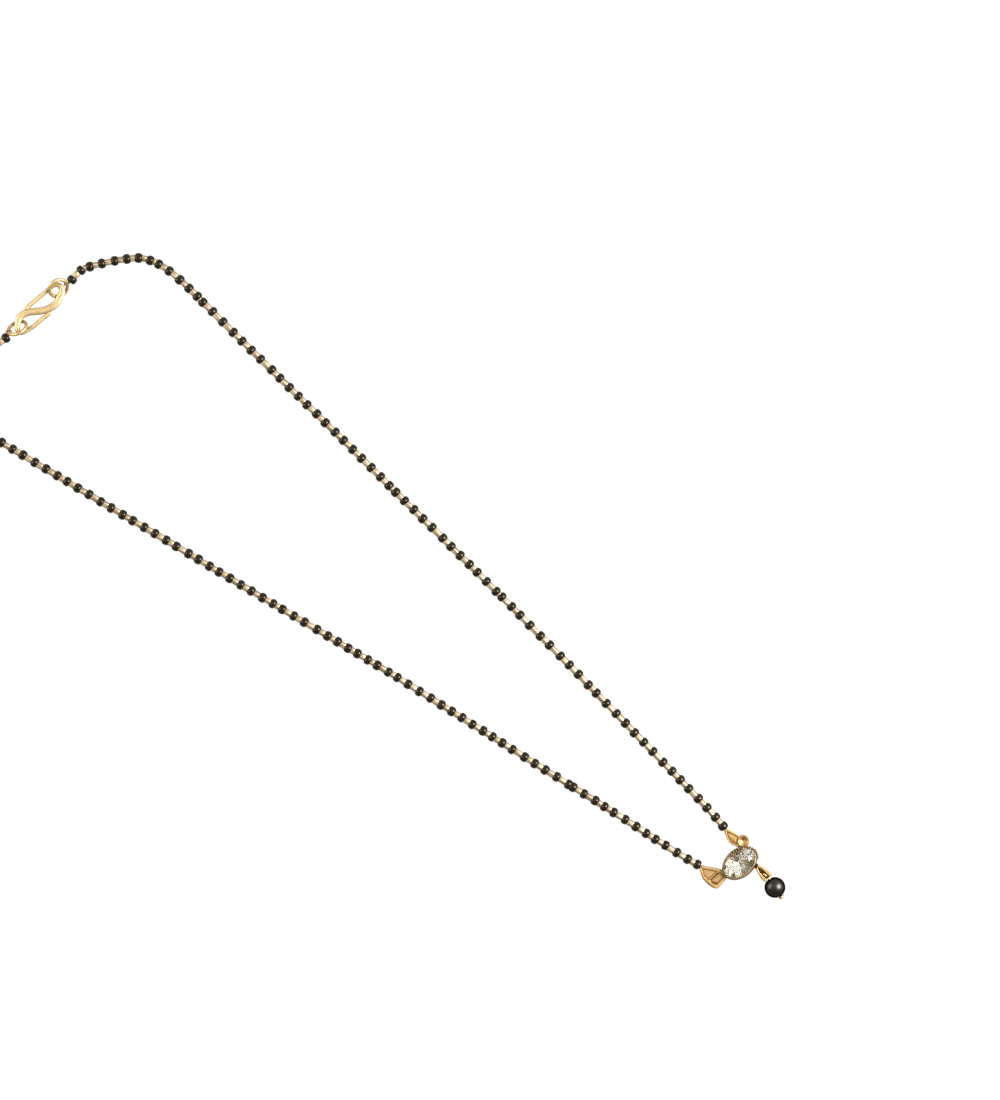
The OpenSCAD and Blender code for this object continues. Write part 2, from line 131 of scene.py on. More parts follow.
table_mesh = bpy.data.meshes.new("table")
corners = [(-TABLE_HALF, -TABLE_HALF, 0), (TABLE_HALF, -TABLE_HALF, 0),
           (TABLE_HALF, TABLE_HALF, 0), (-TABLE_HALF, TABLE_HALF, 0)]
table_mesh.from_pydata(corners, [], [(0, 1, 2, 3)])
table = bpy.data.objects.new("table", table_mesh)
bpy.context.scene.collection.objects.link(table)
table_look = bpy.data.materials.new("white_table")
table_look.use_nodes = True
table_shader = table_look.node_tree.nodes["Principled BSDF"]
table_shader.inputs["Base Color"].default_value = (0.06, 0.06, 0.06, 1)
table_shader.inputs["Roughness"].default_value = 0.9
table_shader.inputs["Specular IOR Level"].default_value = 0.1
table_shader.inputs["Emission Color"].default_value = (1, 1, 1, 1)
table_shader.inputs["Emission Strength"].default_value = 0.97
table_mesh.materials.append(table_look)
table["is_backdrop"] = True


# Black beads. Each string is a row of small round beads of opaque black glass, cut from a drawn
# tube and melted round, so they are wider than long and their hole flares at both ends.
def new_look(name):
    """A new material with its shader, and a function that adds nodes to it."""
    look = bpy.data.materials.new(name)
    look.use_nodes = True
    tree = look.node_tree

    def add(kind, links=(), **settings):
        node = tree.nodes.new(kind)
        for key, value in settings.items():
            if hasattr(node, key):
                setattr(node, key, value)
            else:
                node.inputs[key.replace("_", " ")].default_value = value
        for socket, source in links:
            tree.links.new(source, node.inputs[socket])
        return node

    return look, tree, tree.nodes["Principled BSDF"], add


def new_piece(name, points, faces, look, replaced=()):
    """A smooth mesh piece of the necklace, from points in metres."""
    mesh = bpy.data.meshes.new(name)
    mesh.from_pydata([tuple(p) for p in points], [], [tuple(f) for f in faces])
    mesh.polygons.foreach_set("use_smooth", [True] * len(mesh.polygons))
    mesh.materials.append(look)
    piece = bpy.data.objects.new(name, mesh)
    bpy.context.scene.collection.objects.link(piece)
    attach(piece, "root")
    if replaced:
        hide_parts(*replaced)
    return piece


def wall_faces(rows, around, closed=False):
    """Faces between rows of points, each row a ring of so many points. Closed: last to first."""
    return [
        (i * around + k, i * around + (k + 1) % around,
         (i + 1) % rows * around + (k + 1) % around, (i + 1) % rows * around + k)
        for i in range(rows if closed else rows - 1)
        for k in range(around)
    ]


def lathe(profile, sides):
    """Points and faces of a closed profile of (place along X, radius), turned round the X axis."""
    turns = np.arange(sides) * 2 * math.pi / sides
    points = [(x, r * math.cos(a), r * math.sin(a)) for a in turns for x, r in profile]
    return np.array(points), np.array(wall_faces(sides, len(profile), closed=True))


def joined(shape, places):
    """Copies of a shape as one mesh. Each place is a 3x3 matrix and a point."""
    points, faces = shape
    all_points = np.concatenate([points @ turn.T + at for turn, at in places])
    all_faces = np.concatenate([faces + i * len(points) for i in range(len(places))])
    return all_points, all_faces


def smooth_curve(points, step):
    """Points along the smooth curve through the given points, about one step apart."""
    p = [np.array(q, float) for q in points]
    out = []
    for i in range(len(p) - 1):
        a, b, c, d = p[max(i - 1, 0)], p[i], p[i + 1], p[min(i + 2, len(p) - 1)]
        for t in np.arange(0, 1, 1 / max(1, round(np.linalg.norm(c - b) / step))):
            out.append(0.5 * (2 * b + t * (c - a) + t * t * (2 * a - 5 * b + 4 * c - d)
                              + t ** 3 * (3 * b - a - 3 * c + d)))
    return np.array(out + [p[-1]])


def lengths_along(points):
    """How far along a line each of its points lies."""
    return np.concatenate([[0], np.cumsum(np.linalg.norm(np.diff(points, axis=0), axis=1))])


def about_x(a):
    """A turn about the X axis."""
    return np.array([[1, 0, 0], [0, math.cos(a), -math.sin(a)], [0, math.sin(a), math.cos(a)]])


def about_z(a):
    """A turn about the Z axis."""
    return np.array([[math.cos(a), -math.sin(a), 0], [math.sin(a), math.cos(a), 0], [0, 0, 1]])


def turn_to(heading, spin=0, tilt=0, sway=0):
    """A matrix whose X axis lies along a heading, spun about it, tipped up and swung sideways."""
    ct, st = math.cos(tilt), math.sin(tilt)
    tip = np.array([[ct, 0, -st], [0, 1, 0], [st, 0, ct]])
    return about_z(math.atan2(heading[1], heading[0]) + sway) @ tip @ about_x(spin)


# The routes are those of the source: X in millimetres from the middle of the stone, and Y as a
# share of the distance from the stone to the clasp, apart from both ends, which are in millimetres.
MM = 0.001
RUN = 205.1
LEFT_ENDS = [(-6.36, 6.7), (-13.48, 206.94)]
LEFT_ROUTE = [
    (-7.4, 0.063), (-9.6, 0.151), (-12.3, 0.249), (-14.9, 0.346), (-17.6, 0.444), (-20.7, 0.541),
    (-23.7, 0.634), (-26.6, 0.726), (-29.6, 0.819), (-32.2, 0.902), (-33.6, 0.951), (-33.2, 0.98),
    (-31, 1.004), (-27, 1.018), (-22, 1.02), (-17.5, 1.014),
]
RIGHT_ENDS = [(3.92, 7.77), (5.13, 203.9)]
RIGHT_ROUTE = [
    (5, 0.068), (7.3, 0.166), (9.6, 0.263), (11.7, 0.361), (13.6, 0.458), (15.4, 0.556),
    (17.2, 0.653), (18.9, 0.751), (20.5, 0.839), (21.5, 0.892), (21.5, 0.924), (20, 0.948),
    (16.8, 0.965), (12.5, 0.982), (9, 0.993),
]
ROUTE_STEP = 0.25
STONE_MIDDLE = (np.array(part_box("stone")[0]) + np.array(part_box("stone")[1])) / 2 * [1, 1, 0]
BEAD_R = 1.18 * MM
BEAD_HALF = 0.8 * MM
BEAD_END_R = 0.64 * MM
BEAD_FULLNESS = 0.8
BEAD_MOUTH = [(0.68 * MM, 0.52 * MM), (0.4 * MM, 0.42 * MM)]
BEAD_SIDES = 20
BEAD_LENGTHS = (0.92, 1.06)
BEAD_WIDTHS = (0.97, 1.015)
BEAD_DRIFT = 0.05
BEAD_TILT = 0.03
BEAD_SWAY = 0.06
FULL_TURN = 6.28
END_BEAD = 0.72 * MM
GAP_SPREAD = 0.24
GAP_LESS = 0.42
GAP_MORE = 0.5


class Route:
    """A string's course over the table, measured along its length."""

    def __init__(self, ends, points):
        laid = [ends[0]] + [(x, y * RUN) for x, y in points] + [ends[1]]
        self.points = smooth_curve(laid, ROUTE_STEP) * MM + STONE_MIDDLE[:2]
        self.lengths = lengths_along(self.points)
        self.length = self.lengths[-1]

    def at(self, s):
        return np.array([np.interp(s, self.lengths, self.points[:, k]) for k in (0, 1)])

    def heading(self, s):
        ahead = self.at(min(s + 0.5 * MM, self.length)) - self.at(max(s - 0.5 * MM, 0))
        return ahead / np.linalg.norm(ahead)


def bead_profile():
    """The cross-section of a bead: round outside, with a flared mouth at each end of its hole."""
    profile = []
    for a in np.radians(np.arange(9) * 22.5 - 90):
        swell = (BEAD_R - BEAD_END_R) * math.cos(a) ** BEAD_FULLNESS
        profile.append((BEAD_HALF * math.sin(a), BEAD_END_R + swell))
    return profile + BEAD_MOUTH + [(-x, r) for x, r in reversed(BEAD_MOUTH)]


# For each string its route, the usual distance from bead to bead, and the places along it, in
# millimetres from the pendant, where a tube is short or missing and two beads sit close together.
STRINGS = {
    "left": (Route(LEFT_ENDS, LEFT_ROUTE), 2.82, {33.5: 1.25}),
    "right": (Route(RIGHT_ENDS, RIGHT_ROUTE), 2.99,
              {75: 1.85, 107.4: 2.15, 169.3: 1.85, 183.6: 2.15, 198.8: 2.2}),
}


def bead_spots(route, pitch, close):
    """Places of the beads along a route, in metres, with uneven gaps between them."""
    spots = [0]
    left = dict(close)
    while spots[-1] < route.length / MM - 2 * END_BEAD / MM - pitch / 2:
        near = [s for s in left if s < spots[-1] + pitch]
        if near:
            gap = left.pop(near[0])
        else:
            gap = pitch + max(-GAP_LESS, min(GAP_MORE, dice.gauss(0, GAP_SPREAD)))
        spots.append(spots[-1] + gap)
    stretch = (route.length - 2 * END_BEAD) / spots[-1]
    return [END_BEAD + s * stretch for s in spots]


black, tree, shader, add = new_look("black_glass")
shader.inputs["Base Color"].default_value = (0.008, 0.006, 0.004, 1)
shader.inputs["Specular Tint"].default_value = (1, 0.82, 0.58, 1)
# The beads reflect less on their lower sides than on their tops, by height above the table: painted
# shade, which keeps the white table from showing in them.
place = add("ShaderNodeTexCoord")
parts = add("ShaderNodeSeparateXYZ", [("Vector", place.outputs["Object"])])
shine_map = add("ShaderNodeMapRange", [("Value", parts.outputs["Z"])],
             From_Min=0.0017, From_Max=0.0022, To_Min=0.06, To_Max=0.32)
speckle = add("ShaderNodeTexNoise", Scale=900, Detail=3)
gloss = add("ShaderNodeMapRange", [("Value", speckle.outputs["Fac"])], To_Min=0.08, To_Max=0.22)
ripple = add("ShaderNodeBump", [("Height", speckle.outputs["Fac"])], Strength=0.15, Distance=0.00003)
tree.links.new(shine_map.outputs["Result"], shader.inputs["Specular IOR Level"])
tree.links.new(gloss.outputs["Result"], shader.inputs["Roughness"])
tree.links.new(ripple.outputs["Normal"], shader.inputs["Normal"])

dice = random.Random(11)
bead_places = {}
for side, (route, pitch, close) in STRINGS.items():
    bead_places[side] = bead_spots(route, pitch, close)
    places = []
    for s in bead_places[side]:
        size = np.diag([dice.uniform(*BEAD_LENGTHS), *[dice.uniform(*BEAD_WIDTHS)] * 2])
        heading = route.heading(s)
        drift = dice.uniform(-BEAD_DRIFT, BEAD_DRIFT) * MM
        at = [*(route.at(s) + drift * np.array([-heading[1], heading[0]])), BEAD_R * size[1, 1]]
        turn = turn_to(heading, dice.uniform(0, FULL_TURN), dice.gauss(0, BEAD_TILT),
                       dice.gauss(0, BEAD_SWAY))
        places.append((turn @ size, np.array(at)))
    points, faces = joined(lathe(bead_profile(), BEAD_SIDES), places)
    new_piece(f"black_beads_{side}", points, faces, black,
              (f"bead_string_{side}", f"bead_bend_{side}"))

# Gold tubes. Between each two black beads sits a short tube rolled from thin champagne gold
# sheet, with a seam along it and soft flutes, and its ends sink into the beads' flared holes.
TUBE_R = 0.78 * MM
TUBE_WALL = 0.16 * MM
TUBE_EDGE = 0.03 * MM
TUBE_MOUTH = 0.74 * MM
SHORTEST_TUBE = 0.3 * MM
TUBE_WIDTHS = (0.95, 1.04)
TUBE_TILT = 0.015
TUBE_SWAY = 0.03
FLUTES = 7
FLUTE_DEPTH = 0.07 * MM
SEAM_DEPTH = 1.4

champagne, tree, shader, add = new_look("champagne_gold")
shader.inputs["Metallic"].default_value = 1
shader.inputs["Specular Tint"].default_value = (0.85, 0.74, 0.56, 1)
place = add("ShaderNodeTexCoord")
speckle = add("ShaderNodeTexNoise", [("Vector", place.outputs["Object"])], Scale=700, Detail=2)
tone = add("ShaderNodeMapRange", [("Value", speckle.outputs["Fac"])], From_Min=0.3, From_Max=0.7)
# Shade is painted brown into creases and where the tubes meet the beads and the table, from ambient
# occlusion.
shut = add("ShaderNodeAmbientOcclusion", Distance=0.0005)
shut.samples = 6
clean = add("ShaderNodeMix", [("Factor", tone.outputs["Result"])], data_type="RGBA",
            A=(0.48, 0.39, 0.27, 1), B=(0.61, 0.52, 0.4, 1))
crease_shaded = add("ShaderNodeMix", [("Factor", shut.outputs["AO"]), ("B", clean.outputs["Result"])],
           data_type="RGBA", A=(0.36, 0.25, 0.13, 1))
# Shade is also painted brown into the flutes and the seam, through the groove mark.
groove = add("ShaderNodeAttribute", attribute_name="groove")
lined = add("ShaderNodeMix", [("Factor", groove.outputs["Fac"]), ("A", crease_shaded.outputs["Result"])],
            data_type="RGBA", B=(0.32, 0.21, 0.1, 1))
gloss = add("ShaderNodeMapRange", [("Value", speckle.outputs["Fac"])], To_Min=0.45, To_Max=0.6)
tree.links.new(lined.outputs["Result"], shader.inputs["Base Color"])
tree.links.new(gloss.outputs["Result"], shader.inputs["Roughness"])


def tube_shape():
    """A fluted tube of length 1 along X, open at both ends, and the depth of its flutes."""
    sides = 4 * FLUTES
    rows = [(-0.5, -TUBE_WALL), (-0.5, -TUBE_EDGE), (-0.46, 0),
            (0.46, 0), (0.5, -TUBE_EDGE), (0.5, -TUBE_WALL)]
    points, faces = lathe([(x, TUBE_R + out) for x, out in rows], sides)
    flutes = ((1 - np.cos(FLUTES * np.arange(sides) * 2 * math.pi / sides)) / 2) ** 2
    flutes[0] = SEAM_DEPTH
    groove = np.repeat(flutes, len(rows))
    points[:, 1:] *= (1 - FLUTE_DEPTH * groove / TUBE_R)[:, None]
    return points, faces, groove


def mark_painted_shade(mesh, values):
    """Gives each point a groove mark from 0 to 1: how much brown shade is painted on it."""
    mesh.attributes.new("groove", "FLOAT", "POINT").data.foreach_set("value", values)


tube_points, tube_faces, tube_groove = tube_shape()
for side, (route, *_) in STRINGS.items():
    spots = bead_places[side]
    places = []
    for s, t in zip(spots, spots[1:]):
        heading = route.heading((s + t) / 2)
        length = t - s - 2 * TUBE_MOUTH
        if length < SHORTEST_TUBE:
            continue
        size = np.diag([length, *[dice.uniform(*TUBE_WIDTHS)] * 2])
        turn = turn_to(heading, dice.uniform(0, FULL_TURN), dice.gauss(0, TUBE_TILT),
                       dice.gauss(0, TUBE_SWAY))
        places.append((turn @ size, np.array([*route.at((s + t) / 2), BEAD_R])))
    points, faces = joined((tube_points, tube_faces), places)
    tubes = new_piece(f"gold_tubes_{side}", points, faces, champagne)
    mark_painted_shade(tubes.data, np.clip(np.tile(tube_groove, len(places)), 0, 1))

# Thread. Both strings are strung on dark waxed thread, which shows as a short stretch where a
# string comes out of its leaf.
THREAD_R = 0.12 * MM
THREAD_PLY = 0.2
THREAD_STEP = 1.2 * MM
THREAD_BEFORE = 0.2 * MM
THREAD_BEYOND = 0.1 * MM
THREAD_SIDES = 8


def unit(rows):
    """Each row as a direction of length 1."""
    return rows / np.linalg.norm(rows, axis=1)[:, None]


def rod_faces(rings, around):
    """Faces of a rod of so many rings of points, closed at both ends."""
    near_end = tuple(range(around - 1, -1, -1))
    far_end = tuple(range((rings - 1) * around, rings * around))
    return wall_faces(rings, around) + [near_end, far_end]


def rod(path, halves, sides, level=(0, 0, 1)):
    """Points and faces of a rod along 3D points. halves holds its half width and half height."""
    path = np.array(path)
    ahead = unit(np.gradient(path, axis=0))
    side = unit(np.cross(level, ahead))
    up = np.cross(ahead, side)
    turns = (np.arange(sides) + 0.5) * 2 * math.pi / sides
    halves = np.array(halves)
    points = (path[:, None] + halves[:, 0, None, None] * np.cos(turns)[None, :, None] * side[:, None]
              + halves[:, 1, None, None] * np.sin(turns)[None, :, None] * up[:, None])
    return points.reshape(-1, 3), rod_faces(len(path), sides)


waxed, tree, shader, add = new_look("waxed_thread")
twist = add("ShaderNodeTexWave", Scale=900, Distortion=4)
tone = add("ShaderNodeMix", [("Factor", twist.outputs["Fac"])], data_type="RGBA",
           A=(0.05, 0.03, 0.015, 1), B=(0.2, 0.13, 0.06, 1))
tree.links.new(tone.outputs["Result"], shader.inputs["Base Color"])
shader.inputs["Roughness"].default_value = 0.6

for side, (route, *_) in STRINGS.items():
    spots = np.arange(-THREAD_BEFORE, route.length + THREAD_BEYOND, THREAD_STEP)
    path = [(*(route.at(max(0, s)) + min(0, s) * route.heading(0)), BEAD_R) for s in spots]
    thick = [THREAD_R * (1 + THREAD_PLY * math.sin(k)) for k in range(len(path))]
    points, faces = rod(path, [(t, t) for t in thick], THREAD_SIDES)
    new_piece(f"thread_{side}", points, faces, waxed)

# Clasp. An S hook pressed from gold-plated wire, flat through its middle and thin at both ends,
# holds a soldered wire ring in each of its loops. Its own frame has its length along X, and the
# line of the wire is given as shares of the hook's length and width.
CLASP_AT = STONE_MIDDLE[:2] / MM + [-4.35, RUN]
CLASP_TURN = math.radians(-10.5)
HOOK_L = 14.2
HOOK_W = 4.5
HOOK_Z = 1.6
HOOK_T = 0.85
HOOK_STEP = 0.16
HOOK_SIDES = 20
BAND_W = 1.7
BAND_SHARE = 0.3
TAPER_SHARE = 0.24
TIP_W = 1.0
END_RINGS = 2
END_ROUNDING = 0.8
HOOK_SIDE_DARK = 0.9
HOOK_LINE = [
    (-0.165, 0.49), (-0.085, 0.535), (0, 0.54), (0.106, 0.54), (0.211, 0.535), (0.317, 0.54),
    (0.409, 0.545), (0.477, 0.47), (0.507, 0.3), (0.498, 0.11), (0.462, -0.03), (0.408, -0.11),
    (0.352, -0.195), (0.282, -0.26), (0.211, -0.265), (0.141, -0.23), (0.07, -0.15),
    (0.018, -0.06), (-0.035, 0.045), (-0.088, 0.16), (-0.144, 0.28), (-0.208, 0.37), (-0.28, 0.4),
    (-0.345, 0.355), (-0.4, 0.25), (-0.445, 0.11), (-0.478, -0.05), (-0.478, -0.2),
    (-0.44, -0.305), (-0.39, -0.345), (-0.33, -0.375), (-0.27, -0.41), (-0.211, -0.42),
    (-0.141, -0.415), (-0.07, -0.41), (0, -0.42), (0.03, -0.435), (0.115, -0.41),
]


def from_clasp(points):
    """Points of the clasp's frame, in millimetres, in the necklace's frame, in metres."""
    p = np.atleast_2d(points)
    x = p[:, 0] * math.cos(CLASP_TURN) - p[:, 1] * math.sin(CLASP_TURN)
    y = p[:, 0] * math.sin(CLASP_TURN) + p[:, 1] * math.cos(CLASP_TURN)
    return np.stack([x + CLASP_AT[0], y + CLASP_AT[1], p[:, 2]], axis=1) * MM


def smooth_step(x):
    """0 below 0, 1 above 1, and a smooth rise between."""
    x = np.clip(x, 0, 1)
    return x * x * (3 - 2 * x)


GLOSS_SPREAD = 0.07
UPRIGHT = 0.88
UPRIGHT_FADE = 0.3


def gold_look(name, clean, bright, shade, rough, crease):
    """Satin gold plate: its tone wanders a little, and brown shade is painted into its creases and
    wherever its groove mark says.
    """
    look, tree, shader, add = new_look(name)
    shader.inputs["Specular Tint"].default_value = (*shade, 1)
    place = add("ShaderNodeTexCoord")
    cloud = add("ShaderNodeTexNoise", [("Vector", place.outputs["Object"])], Scale=420, Detail=4)
    grain = add("ShaderNodeTexNoise", [("Vector", place.outputs["Object"])], Scale=5200, Detail=2)
    spread = add("ShaderNodeMapRange", [("Value", cloud.outputs["Fac"])], From_Min=0.35, From_Max=0.65)
    tone = add("ShaderNodeMix", [("Factor", spread.outputs["Result"])], data_type="RGBA",
               A=(*clean, 1), B=(*bright, 1))
    # Shade is painted brown into creases and where the gold meets the table, from ambient occlusion.
    shut = add("ShaderNodeAmbientOcclusion", Distance=crease)
    shut.samples = 8
    open_share = add("ShaderNodeMapRange", [("Value", shut.outputs["AO"])], From_Min=0.3, From_Max=0.92)
    crease_shaded = add("ShaderNodeMix", [("Factor", open_share.outputs["Result"]), ("B", tone.outputs["Result"])],
               data_type="RGBA", A=(*shade, 1))
    # Shade is also painted brown wherever the groove mark says, and there the gold is less metallic.
    groove = add("ShaderNodeAttribute", attribute_name="groove")
    lined = add("ShaderNodeMix", [("Factor", groove.outputs["Fac"]), ("A", crease_shaded.outputs["Result"])],
                data_type="RGBA", B=(*shade, 1))
    metal_outside_shade = add("ShaderNodeMapRange", [("Value", groove.outputs["Fac"])], To_Min=1, To_Max=0.15)
    gloss = add("ShaderNodeMapRange", [("Value", cloud.outputs["Fac"])],
                To_Min=rough - GLOSS_SPREAD, To_Max=rough + GLOSS_SPREAD)
    bump = add("ShaderNodeBump", [("Height", grain.outputs["Fac"])], Strength=0.12, Distance=0.00001)
    tree.links.new(metal_outside_shade.outputs["Result"], shader.inputs["Metallic"])
    tree.links.new(lined.outputs["Result"], shader.inputs["Base Color"])
    tree.links.new(gloss.outputs["Result"], shader.inputs["Roughness"])
    tree.links.new(bump.outputs["Normal"], shader.inputs["Normal"])
    return look


def upward(mesh):
    """How far each point of a mesh faces up, from -1 to 1."""
    normals = np.empty(len(mesh.vertices) * 3)
    mesh.vertices.foreach_get("normal", normals)
    return normals[2::3]


def paint_side_shade(piece, share):
    """Paints shade on the upright sides of a piece, through its groove mark."""
    facing_up = np.abs(upward(piece.data))
    mark_painted_shade(piece.data, share * smooth_step((UPRIGHT - facing_up) / UPRIGHT_FADE))


pale_gold = gold_look("pale_gold", clean=(0.62, 0.455, 0.22), bright=(0.68, 0.52, 0.27),
                      shade=(0.28, 0.155, 0.05), rough=0.48, crease=0.0013)

path = smooth_curve([(x * HOOK_L, y * HOOK_W, HOOK_Z) for x, y in HOOK_LINE], HOOK_STEP)
from_middle = np.abs(np.linspace(-1, 1, len(path)))
thin = smooth_step((from_middle - BAND_SHARE) / TAPER_SHARE)
ends = np.minimum(np.arange(len(path)), np.arange(len(path))[::-1])
rounding = np.sqrt(1 - (1 - np.minimum(ends, END_RINGS) / END_RINGS) ** 2 * END_ROUNDING)
half_widths = (BAND_W * (1 - thin) + TIP_W * thin) / 2 * rounding
half_heights = HOOK_T / 2 * rounding
points, faces = rod(path, np.stack([half_widths, half_heights], axis=1), HOOK_SIDES)
hook = new_piece("clasp_hook", from_clasp(points), faces, pale_gold, ("s_hook",))
paint_side_shade(hook, HOOK_SIDE_DARK)

# Rings. Each one is a closed circle of round wire that stands at a slope through its loop. A row
# here is its middle, its turn and its slope, the angle of the wire that the string's thread loop
# holds, and the string's end: all in the clasp's frame.
RING_R = 2.2
RING_WIRE = 0.8
RING_STEPS = 72
RING_SIDES = 18
RING_SIDE_DARK = 0.7
RINGS = {
    "left": ((-6.488, 0.18), -16, -50, 180, 0.15),
    "right": ((6.649, 1.17), -2, 41, -12, 0.55),
}


class Ring:
    """A ring's place and axes in the clasp's frame, and where its thread loop holds it."""

    def __init__(self, middle, turn, slope, hold_angle, end_y):
        s = math.radians(slope)
        self.axes = about_z(math.radians(turn)) @ about_x(s)
        self.middle = np.array([*middle, RING_R * math.sin(abs(s)) + RING_WIRE / 2])
        a = math.radians(hold_angle)
        self.outward = self.axes @ [math.cos(a), math.sin(a), 0]
        self.along = self.axes @ [-math.sin(a), math.cos(a), 0]
        self.upward = self.axes @ [0, 0, 1]
        self.hold = self.middle + RING_R * self.outward
        self.end_y = end_y


ring_gold = gold_look("ring_gold", clean=(0.55, 0.39, 0.18), bright=(0.62, 0.46, 0.23),
                      shade=(0.24, 0.13, 0.04), rough=0.48, crease=0.0013)

for side, row in RINGS.items():
    ring = Ring(*row)
    wire = [(RING_R + RING_WIRE / 2 * math.cos(a), RING_WIRE / 2 * math.sin(a))
            for a in np.arange(RING_SIDES) * 2 * math.pi / RING_SIDES]
    turns = np.arange(RING_STEPS) * 2 * math.pi / RING_STEPS
    points = np.array([(r * math.cos(t), r * math.sin(t), z) for t in turns for r, z in wire])
    faces = [(a, d, c, b) for a, b, c, d in wall_faces(RING_STEPS, RING_SIDES, closed=True)]
    circlet = new_piece(f"ring_{side}", from_clasp(points @ ring.axes.T + ring.middle), faces,
                        ring_gold, (f"clasp_ring_{side}",))
    paint_side_shade(circlet, RING_SIDE_DARK)

# End loops. The thread at each string's end turns round its ring inside a tight coil of fine
# gold wire, which keeps it from wearing through.
LOOP_WIRE = 0.35
LOOP_ANGLES = np.radians(np.arange(50, 311, 13))
LOOP_STEP = 0.1
GAP = 0.05
END_THREAD_R = 0.1
END_THREAD_SIDES = 6
COIL_WIRE_R = 0.05
COIL_PITCH = 0.12
COIL_STEPS = 9
COIL_SIDES = 5
fine_gold = gold_look("fine_gold_wire", clean=(0.55, 0.38, 0.17), bright=(0.66, 0.48, 0.25),
                      shade=(0.22, 0.11, 0.03), rough=0.42, crease=0.0006)

for side, row in RINGS.items():
    ring = Ring(*row)
    loop_r = (RING_WIRE + LOOP_WIRE) / 2 + GAP
    outer = math.copysign(1, ring.middle[0])
    face = np.array([ring.hold[0] + outer * (loop_r + GAP), ring.end_y, BEAD_R / MM])
    turned = math.atan2((face - ring.hold) @ ring.upward, (face - ring.hold) @ ring.outward)
    leg = np.array([0, 0, LOOP_WIRE / 2 + GAP])
    arc = [
        ring.hold + loop_r * (math.cos(b + turned) * ring.outward + math.sin(b + turned) * ring.upward)
        for b in LOOP_ANGLES
    ]
    centre_line = smooth_curve([face + leg, *arc, face - leg], LOOP_STEP)
    halves = [(END_THREAD_R, END_THREAD_R)] * len(centre_line)
    points, faces = rod(centre_line, halves, END_THREAD_SIDES, ring.along)
    new_piece(f"end_thread_{side}", from_clasp(points), faces, waxed)
    lengths = lengths_along(centre_line)
    marks = np.arange(0, lengths[-1], COIL_PITCH / COIL_STEPS)
    middle = np.stack([np.interp(marks, lengths, centre_line[:, k]) for k in range(3)], axis=1)
    across = np.cross(ring.along, unit(np.gradient(middle, axis=0)))
    spin = (marks / COIL_PITCH * 2 * math.pi)[:, None]
    coil = middle + (LOOP_WIRE / 2 - COIL_WIRE_R) * (np.cos(spin) * ring.along + np.sin(spin) * across)
    inward = unit(middle - coil)
    beside = np.cross(unit(np.gradient(coil, axis=0)), inward)
    corners = (np.arange(COIL_SIDES) * 2 * math.pi / COIL_SIDES)[None, :, None]
    points = (coil[:, None] + COIL_WIRE_R * (np.cos(corners) * inward[:, None]
                                             + np.sin(corners) * beside[:, None])).reshape(-1, 3)
    new_piece(f"wire_coil_{side}", from_clasp(points), rod_faces(len(coil), COIL_SIDES), fine_gold,
              (f"end_loop_{side}",))

# Setting. The pendant's body is soldered together from cast and bent parts and gold plated, so
# its edges are soft and metal has run into its inner corners. Its leaves have engraved cells.
VOXEL = 0.07
SOFTENING = 5
POLISHING = 4
LEAF_TOP = 1.85
LEAF_FROM = 1.1
LEAF_TO = LEAF_TOP + 0.1
WALL_W = 0.1
GROOVE_DEPTH = 0.22
GROOVE_W = 0.2
GROOVE_DARK_AT = 0.1
GROOVE_DARK_W = 0.14
CELL_DARK = 0.3
UPPER_FLOOR = 1.68
LOWER_FLOOR = 1.78
LINE_DEPTH = 0.03
LINE_PITCH = 0.5
CORNER_AT = (-7.2, 1.25)
CORNER_R = 1.05
OUTER_SIDE = (-0.77, -0.64)
OUTER_FROM = 2.2
EDGE_REACH = (-0.2, 0.5)
EDGE_LOW = 1.2
EDGE_SLOPE = 0.12
EDGE_SLOPE_FROM = -0.1
EDGE_SLOPE_W = 0.4
OVAL = (4.45, 3.15)
OVAL_WALL = 0.6
OVAL_TURN = math.radians(-9)
RIM_TOP = 3.1
RIM_FROM = 2.2
RIM_RISE = 0.5
RIM_REACH = (-0.5, 1.5)
RIM_DROP = 0.9
RIM_DROP_FROM = 0.4
RIM_DROP_W = 0.7
RIM_GOLD_FROM = 2.35
RIM_GOLD_REACH = (0.8, 1.08)
SIDE_DARK = 0.6
SIDE_UPRIGHT = 0.62
SIDE_FADE = 0.4
STONE_SHIFT = 0.28
LIP_HALF = (4.08, 2.74)
CUP_AT = (4.454, 2.676)
CUP_R = 1.15
CUP_TOP = 2.13
CUP_FROM = 1.5
CUP_DEPTH = 0.42
CUP_LINE_R = 0.75 * CUP_R
CUP_LINE_W = 0.13
CUP_LINE_DARK = 0.4
PIT_AT = (4.68, 3.06)
PIT_R = 0.26
PIT_DEPTH = 0.3
PIT_DARK = 0.7


def shares(rows, base, across, along):
    """The corners of an outline of the source, in millimetres from the middle of the stone."""
    return np.array([(base[0] + u * across, base[1] + v * along) for u, v in rows])


LEFT_LEAF = ((-4.15, 0.2), -4.25, 6.4)
RIGHT_LEAF = ((2.768, 2.369), 2.65, 5.3)
left_edge = shares([(0, 0), (-0.1, 0.2), (-0.07, 0.375), (0.42, 0.985), (0.62, 1), (0.95, 0.67),
                    (1.01, 0.375), (0.97, 0)], *LEFT_LEAF)
upper_cell = shares([(0.55, 0.92), (0.8, 0.7), (0.83, 0.475), (0.13, 0.415)], *LEFT_LEAF)
lower_cell = shares([(0.09, 0.345), (0.8, 0.415), (0.79, 0.3), (0.63, 0.12), (0.1, 0.09)], *LEFT_LEAF)
right_cell = shares([(0.36, 0.9), (0.5, 0.66), (0.6, 0.37), (0.32, 0.2), (-0.02, 0.2), (-0.13, 0.43),
                     (-0.04, 0.66)], *RIGHT_LEAF)


